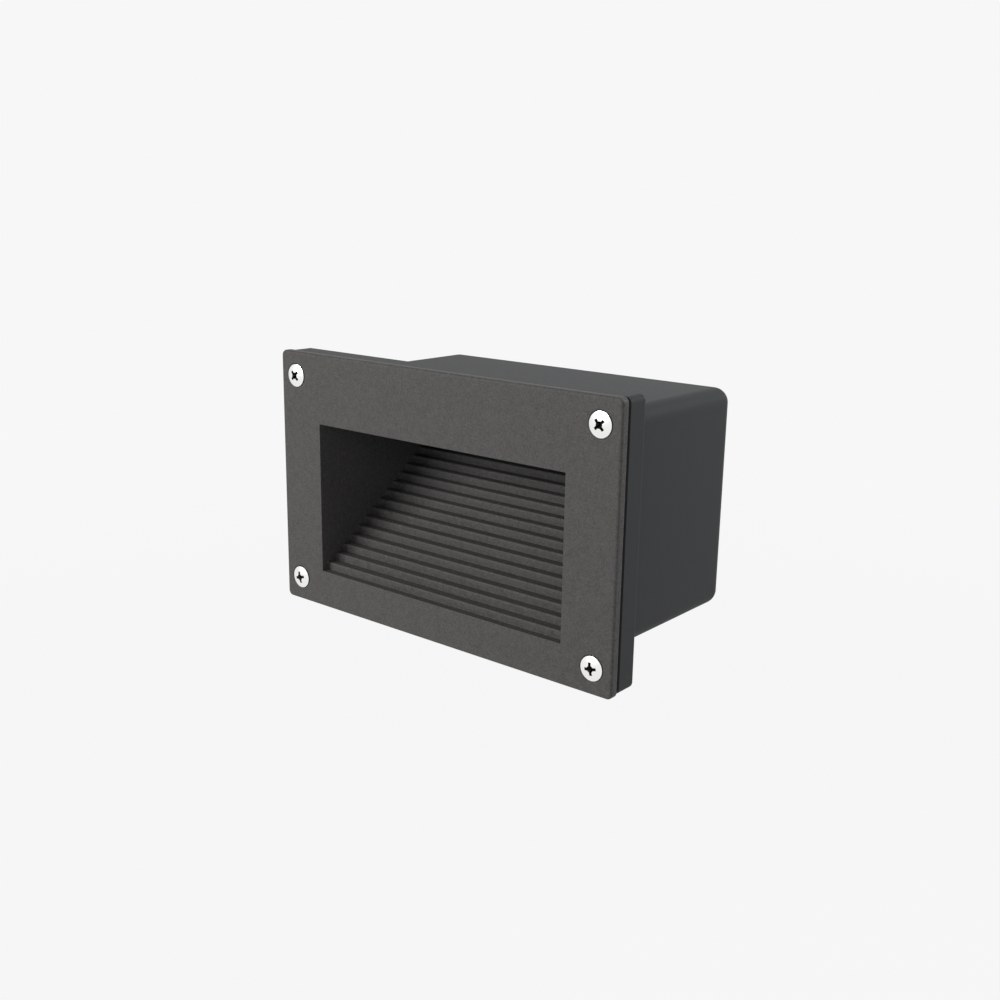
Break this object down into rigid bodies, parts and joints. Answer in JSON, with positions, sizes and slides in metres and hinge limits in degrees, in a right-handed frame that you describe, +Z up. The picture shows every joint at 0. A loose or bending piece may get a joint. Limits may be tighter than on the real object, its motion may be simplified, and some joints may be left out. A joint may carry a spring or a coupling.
{
  "type": "recessed step light",
  "caption": "Recessed wall light with a hooded front, a stepped reflector slope and a back box behind a rectangular screwed face plate.",
  "frame": {"origin": "centre of the collar's rear face, which lies on the wall", "axes": "+X to the right seen from the front, +Y into the wall, +Z up"},
  "size_m": [0.14, 0.1006, 0.088],
  "materials": {
    "casting": "dark grey textured powder coat on a die casting",
    "box_plastic": "black moulded plastic",
    "stainless": "bright stainless steel",
    "zinc_steel": "zinc plated steel",
    "brass": "turned brass",
    "black_rubber": "black silicone rubber",
    "white_silicone": "white silicone",
    "gland_nylon": "black nylon",
    "clear_glass": "clear toughened glass",
    "white_board": "white solder mask on an aluminium board",
    "phosphor": "yellow phosphor under clear silicone",
    "pad_blue": "filled silicone pad",
    "driver_white": "white moulded plastic",
    "board_green": "green solder mask",
    "lead_red": "red lead insulation",
    "lead_black": "black lead insulation",
    "lead_brown": "brown lead insulation",
    "lead_blue": "blue lead insulation",
    "lead_green": "green lead insulation"
  },
  "bodies": {
    "back_box": {"back_box": "box_plastic", "thread_inserts": "brass", "gland_body": "gland_nylon", "gland_washer": "black_rubber", "gland_locknut": "gland_nylon", "gland_seal": "black_rubber"},
    "front_unit": {"face_casting": "casting", "face_gasket": "black_rubber", "screw_seals": "black_rubber", "glass_bed": "white_silicone", "lens_glass": "clear_glass", "led_board": "white_board", "led_chips": "phosphor", "thermal_pad": "pad_blue", "lid_gasket": "black_rubber", "chamber_lid": "casting", "lid_screws": "zinc_steel", "lead_grommet": "black_rubber", "led_lead_positive": "lead_red", "led_lead_negative": "lead_black", "driver_tray": "zinc_steel", "tray_screws": "zinc_steel", "driver_case": "driver_white", "driver_lid": "driver_white", "driver_board": "board_green", "module_screws": "zinc_steel", "terminal_block": "driver_white", "terminal_barrels": "brass", "terminal_screws": "zinc_steel", "lead_live": "lead_brown", "lead_neutral": "lead_blue", "lead_earth": "lead_green", "earth_tag": "brass", "earth_screw": "brass"},
    "screw_top_left": {"face_screw_top_left": "stainless"},
    "screw_top_right": {"face_screw_top_right": "stainless"},
    "screw_bottom_right": {"face_screw_bottom_right": "stainless"},
    "screw_bottom_left": {"face_screw_bottom_left": "stainless"},
    "gland_nut": {"gland_nut": "gland_nylon"}
  },
  "joints": [
    {"name": "front_unit_slide", "type": "slide", "parent": "back_box", "child": "front_unit", "axis": [0, -1, 0], "range_m": [0, 0.09]},
    {"name": "screw_top_left_turn", "type": "hinge", "parent": "front_unit", "child": "screw_top_left", "pos_m": [-0.0628, -0.012, 0.0358], "axis": [0, 1, 0], "continuous": true},
    {"name": "screw_top_right_turn", "type": "hinge", "parent": "front_unit", "child": "screw_top_right", "pos_m": [0.0628, -0.012, 0.0358], "axis": [0, 1, 0], "continuous": true},
    {"name": "screw_bottom_right_turn", "type": "hinge", "parent": "front_unit", "child": "screw_bottom_right", "pos_m": [0.0628, -0.012, -0.0358], "axis": [0, 1, 0], "continuous": true},
    {"name": "screw_bottom_left_turn", "type": "hinge", "parent": "front_unit", "child": "screw_bottom_left", "pos_m": [-0.0628, -0.012, -0.0358], "axis": [0, 1, 0], "continuous": true},
    {"name": "gland_nut_turn", "type": "hinge", "parent": "back_box", "child": "gland_nut", "pos_m": [0.03, 0.081, 0.002], "axis": [0, 1, 0], "continuous": true}
  ]
}
